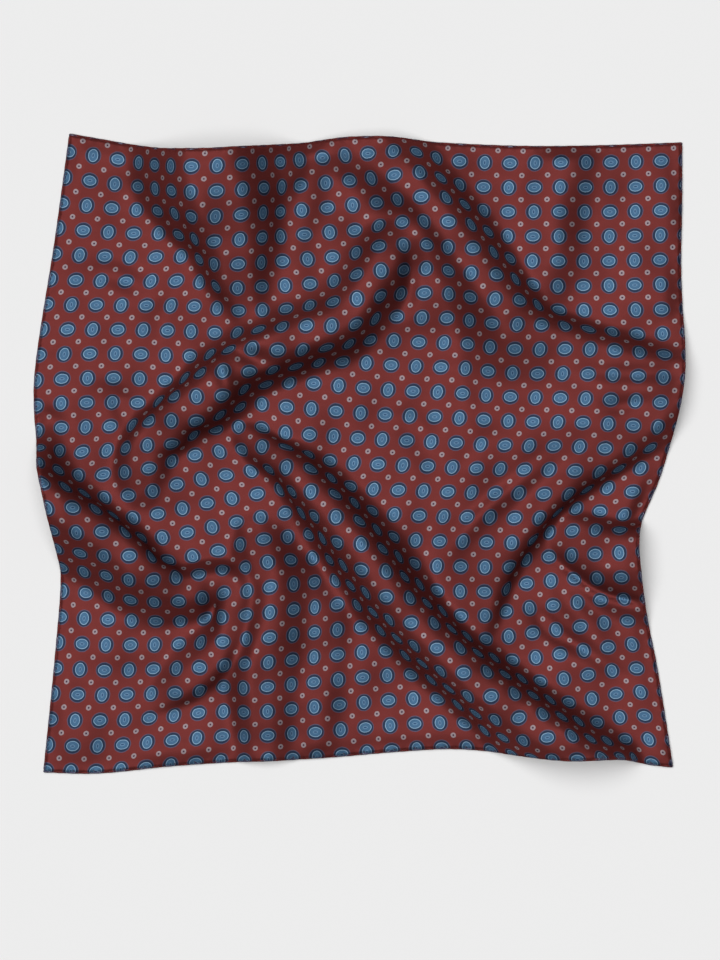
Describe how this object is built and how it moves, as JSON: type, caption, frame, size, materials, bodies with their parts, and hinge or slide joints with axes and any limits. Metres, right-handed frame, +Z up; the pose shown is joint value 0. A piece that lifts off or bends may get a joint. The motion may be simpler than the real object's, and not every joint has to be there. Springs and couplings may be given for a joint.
{
  "type": "pocket square",
  "caption": "Square silk twill pocket square with rolled hems and a printed repeat of ovals and rings, lying flat in loose folds.",
  "frame": {"origin": "on the table surface under the middle of the laid cloth", "axes": "+Z up, +X to the right and +Y away from the reader, with the cloth seen from above as in the picture"},
  "size_m": [0.324, 0.3189, 0.0326],
  "materials": {
    "printed_silk": "matt twill with a soft sheen",
    "hem_silk": "matt twill, rolled"
  },
  "bodies": {
    "root": {"panel": "printed_silk", "hem_top": "hem_silk", "hem_right": "hem_silk", "hem_bottom": "hem_silk", "hem_left": "hem_silk"}
  },
  "joints": []
}
